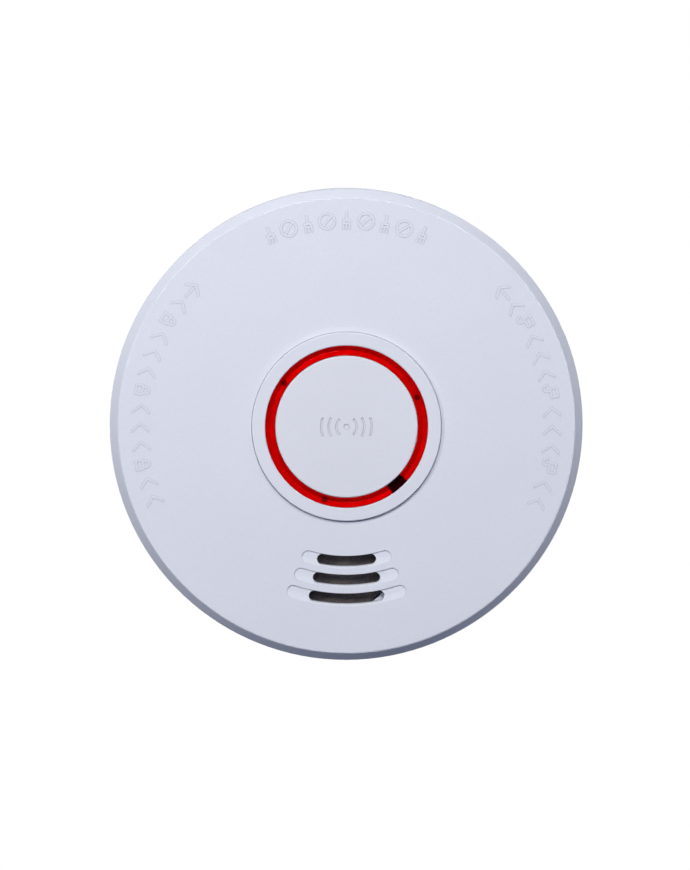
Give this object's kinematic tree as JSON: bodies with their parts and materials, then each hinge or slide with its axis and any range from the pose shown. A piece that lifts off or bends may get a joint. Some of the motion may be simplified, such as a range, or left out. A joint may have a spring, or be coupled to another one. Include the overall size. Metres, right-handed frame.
{
  "type": "smoke detector",
  "caption": "Round ceiling smoke alarm on a twist-lock plate, with a central test button in a red light ring and curved sound slots.",
  "frame": {"origin": "centre of the wall plate's flat back face", "axes": "+Z out of the front face, away from the wall; +Y toward the top of the face; the sound slots lie toward -Y"},
  "size_m": [0.12, 0.12, 0.037],
  "materials": {
    "plate_plastic": "fine moulded texture, cool white ABS",
    "base_plastic": "fine moulded texture, cool white ABS",
    "cover_plastic": "fine moulded texture, cool white ABS",
    "button_plastic": "fine moulded texture, cool white ABS",
    "inner_plastic": "plain moulded ABS",
    "red_light_guide": "polished translucent red acrylic",
    "spring_steel": "drawn spring wire",
    "zinc_steel": "zinc-plated",
    "board_laminate": "solder mask over glass laminate",
    "black_plastic": "moulded",
    "switch_plastic": "moulded",
    "red_lens": "diffused epoxy lens",
    "clear_acrylic": "clear polished acrylic",
    "chip_epoxy": "moulded epoxy",
    "capacitor_sleeve": "shrunk sleeve",
    "resistor_ceramic": "lacquered",
    "coil_sleeve": "shrunk sleeve",
    "chamber_plastic": "light-absorbing moulded plastic",
    "screen_steel": "etched screen",
    "clear_lens": "epoxy lens",
    "dark_lens": "filter epoxy lens",
    "horn_plastic": "moulded",
    "black_felt": "thin black felt",
    "piezo_brass": "rolled sheet",
    "piezo_ceramic": "silvered ceramic",
    "orange_wire": "flexible insulation",
    "battery_jacket": "lacquered steel jacket",
    "nickel_steel": "nickel-plated",
    "red_wire": "flexible insulation",
    "black_wire": "flexible insulation"
  },
  "bodies": {
    "wall_mount": {"mounting_plate": "plate_plastic"},
    "alarm": {"base_shell": "base_plastic", "front_cover": "cover_plastic", "bezel_ring": "cover_plastic", "light_ring": "red_light_guide", "button_spring": "spring_steel", "button_bridge": "inner_plastic", "bridge_screws": "zinc_steel", "housing_screws": "zinc_steel", "circuit_board": "board_laminate", "board_screws": "zinc_steel", "switch_body": "black_plastic", "status_led": "red_lens", "light_pipe": "clear_acrylic", "control_chip": "chip_epoxy", "capacitors": "capacitor_sleeve", "resistors": "resistor_ceramic", "horn_coil": "coil_sleeve", "chamber_base": "chamber_plastic", "chamber_cover": "chamber_plastic", "insect_screen": "screen_steel", "infrared_emitter": "clear_lens", "photodiode": "dark_lens", "horn_housing": "horn_plastic", "horn_base": "horn_plastic", "horn_gauze": "black_felt", "piezo_plate": "piezo_brass", "piezo_ceramic": "piezo_ceramic", "horn_leads": "orange_wire", "battery": "battery_jacket", "battery_terminals": "nickel_steel", "battery_snap": "black_plastic", "battery_lead_red": "red_wire", "battery_lead_black": "black_wire"},
    "button": {"test_button": "button_plastic"},
    "plunger": {"switch_plunger": "switch_plastic"}
  },
  "joints": [
    {"name": "twist_lock", "type": "hinge", "parent": "wall_mount", "child": "alarm", "pos_m": [0, 0, 0], "axis": [0, 0, 1], "range_deg": [0, 15]},
    {"name": "button_press", "type": "slide", "parent": "alarm", "child": "button", "axis": [0, 0, -1], "range_m": [0, 0.0006], "stiffness_N_per_m": 900, "springref_m": -0.002, "deforming": ["button_spring"]},
    {"name": "switch_press", "type": "slide", "parent": "alarm", "child": "plunger", "axis": [0, 0, -1], "range_m": [0, 0.0006]}
  ],
  "couplings": [
    {"joint": "switch_press", "follows": "button_press", "ratio": 1}
  ]
}
